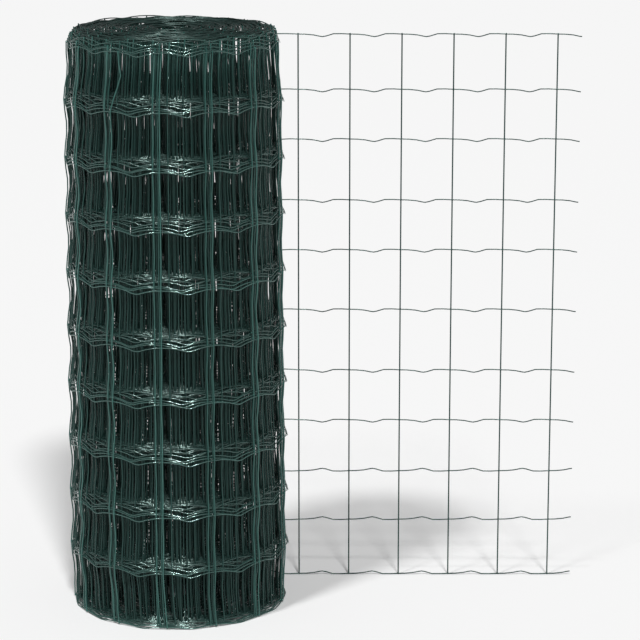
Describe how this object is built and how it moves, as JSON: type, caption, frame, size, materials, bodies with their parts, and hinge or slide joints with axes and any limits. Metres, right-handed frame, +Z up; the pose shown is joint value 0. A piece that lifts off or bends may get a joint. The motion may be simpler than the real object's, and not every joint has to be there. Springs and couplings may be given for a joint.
{
  "type": "roll of wire fencing",
  "caption": "Roll of green plastic-coated welded wire fencing standing on its end, with an open bore and a loose end of crimped mesh pulled out straight.",
  "frame": {"origin": "on the roll's axis, at the floor it stands on", "axes": "+Z up along the roll's axis, +X along the loose end, away from the roll, and -Y to the viewer"},
  "size_m": [0.9082, 0.3888, 1.024],
  "materials": {
    "coated_wire": "dark green plastic coating with a soft gloss"
  },
  "bodies": {
    "root": {"wound_roll": "coated_wire", "loose_end": "coated_wire"}
  },
  "joints": []
}
